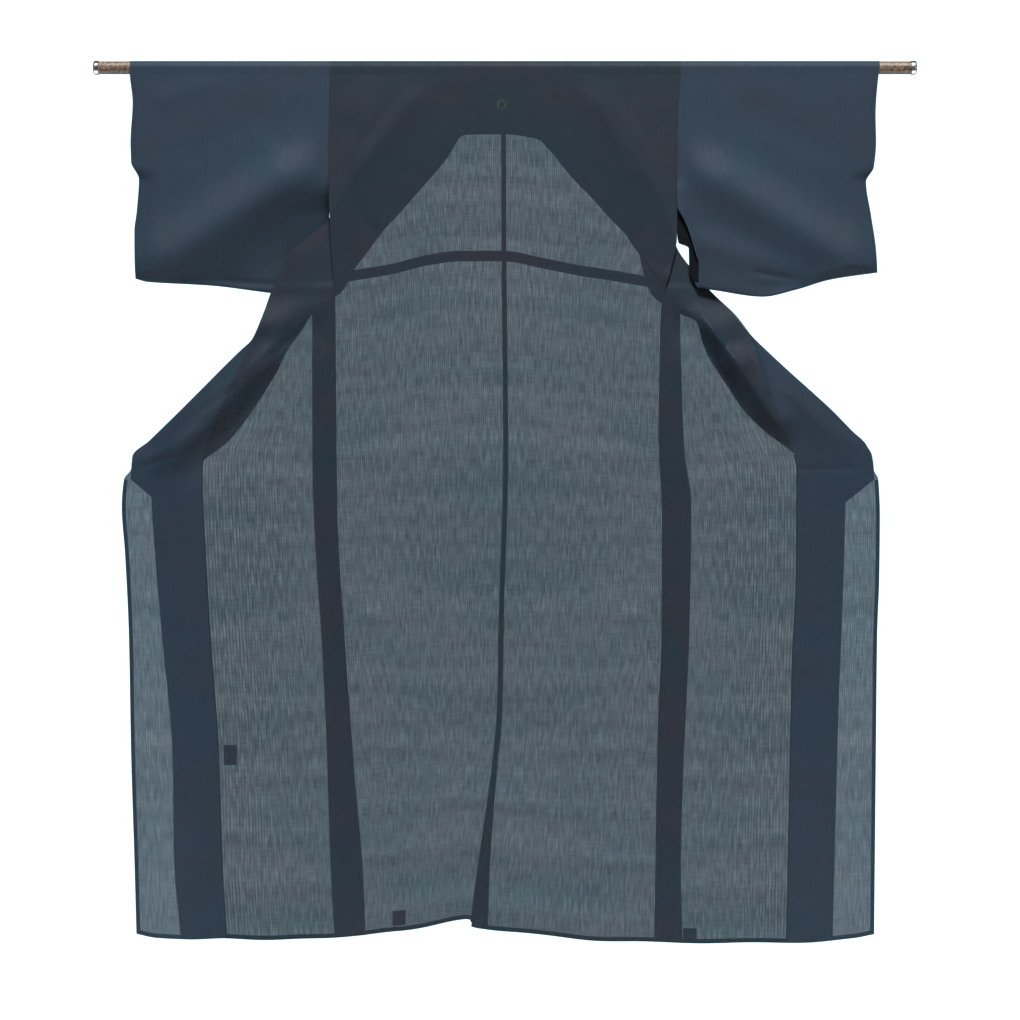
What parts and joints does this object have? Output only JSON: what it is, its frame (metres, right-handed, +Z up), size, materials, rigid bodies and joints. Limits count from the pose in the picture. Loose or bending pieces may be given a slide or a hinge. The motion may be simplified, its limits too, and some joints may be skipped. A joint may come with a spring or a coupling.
{
  "type": "kimono on a hanging rod",
  "caption": "Sheer unlined dark kimono hung on a straight rod through its sleeves, seen from the back, with both fronts opened out to the sides.",
  "frame": {"origin": "on the rod's axis, at the middle of the shoulders", "axes": "+Z up, -Y towards the viewer who sees the wearer's back, -X towards the wearer's left; the rod lies along X"},
  "size_m": [1.4806, 0.0612, 1.5886],
  "materials": {
    "cloth": "sheer ribbed weave",
    "cloth_doubled": "sheer ribbed weave, layered",
    "rod": "mottled brown, satin",
    "rod_cap": "polished"
  },
  "bodies": {
    "root": {"rod": "rod", "rod_cap_left": "rod_cap", "rod_cap_right": "rod_cap", "back_left": "cloth", "back_right": "cloth", "front_left": "cloth", "front_right": "cloth", "overlap_left": "cloth", "overlap_right": "cloth", "sleeve_left": "cloth", "sleeve_right": "cloth", "collar": "cloth", "side_margin_left": "cloth_doubled", "side_margin_right": "cloth_doubled", "overlap_margin_left": "cloth_doubled", "overlap_margin_right": "cloth_doubled", "centre_margin": "cloth_doubled", "tuck_left": "cloth_doubled", "tuck_right": "cloth_doubled"}
  },
  "joints": []
}
